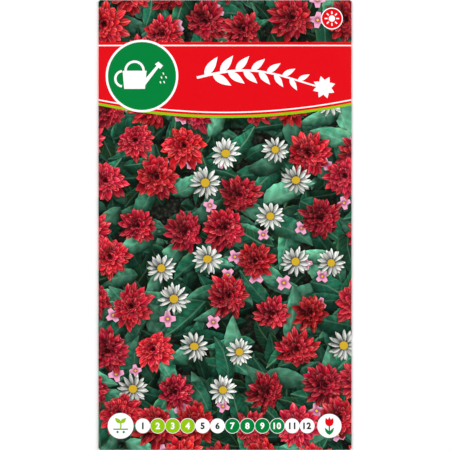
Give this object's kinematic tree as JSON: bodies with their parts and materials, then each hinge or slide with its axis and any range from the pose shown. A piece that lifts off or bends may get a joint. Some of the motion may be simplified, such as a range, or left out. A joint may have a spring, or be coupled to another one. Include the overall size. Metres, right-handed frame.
{
  "type": "seed packet",
  "caption": "Flat folded paper seed packet, sealed by a back seam and two end flaps, holding a sealed sachet of loose seeds.",
  "frame": {"origin": "under the middle of the packet, on the surface that it lies on", "axes": "+Y towards the packet's top edge, +X to the right as the front is read, +Z out of the front"},
  "size_m": [0.09, 0.16, 0.0036],
  "materials": {
    "envelope_paper": "coated one side, offset printed, satin",
    "adhesive": "dried dispersion adhesive",
    "glassine": "calendered, translucent, satin",
    "seed_coat": "dry, matt, finely ribbed"
  },
  "bodies": {
    "root": {"envelope": "envelope_paper", "glue_back_seam": "adhesive", "glue_bottom_flap": "adhesive", "glue_top_flap": "adhesive", "sachet_back_web": "glassine", "sachet_front_web": "glassine", "seed_01": "seed_coat", "seed_02": "seed_coat", "seed_03": "seed_coat", "seed_04": "seed_coat", "seed_05": "seed_coat", "seed_06": "seed_coat", "seed_07": "seed_coat", "seed_08": "seed_coat", "seed_09": "seed_coat", "seed_10": "seed_coat", "seed_11": "seed_coat", "seed_12": "seed_coat", "seed_13": "seed_coat", "seed_14": "seed_coat", "seed_15": "seed_coat", "seed_16": "seed_coat", "seed_17": "seed_coat", "seed_18": "seed_coat", "seed_19": "seed_coat", "seed_20": "seed_coat", "seed_21": "seed_coat", "seed_22": "seed_coat", "seed_23": "seed_coat", "seed_24": "seed_coat", "seed_25": "seed_coat", "seed_26": "seed_coat", "seed_27": "seed_coat", "seed_28": "seed_coat", "seed_29": "seed_coat", "seed_30": "seed_coat", "seed_31": "seed_coat", "seed_32": "seed_coat", "seed_33": "seed_coat", "seed_34": "seed_coat", "seed_35": "seed_coat", "seed_36": "seed_coat", "seed_37": "seed_coat", "seed_38": "seed_coat", "seed_39": "seed_coat", "seed_40": "seed_coat", "seed_41": "seed_coat", "seed_42": "seed_coat", "seed_43": "seed_coat", "seed_44": "seed_coat", "seed_45": "seed_coat", "seed_46": "seed_coat", "seed_47": "seed_coat", "seed_48": "seed_coat"}
  },
  "joints": []
}
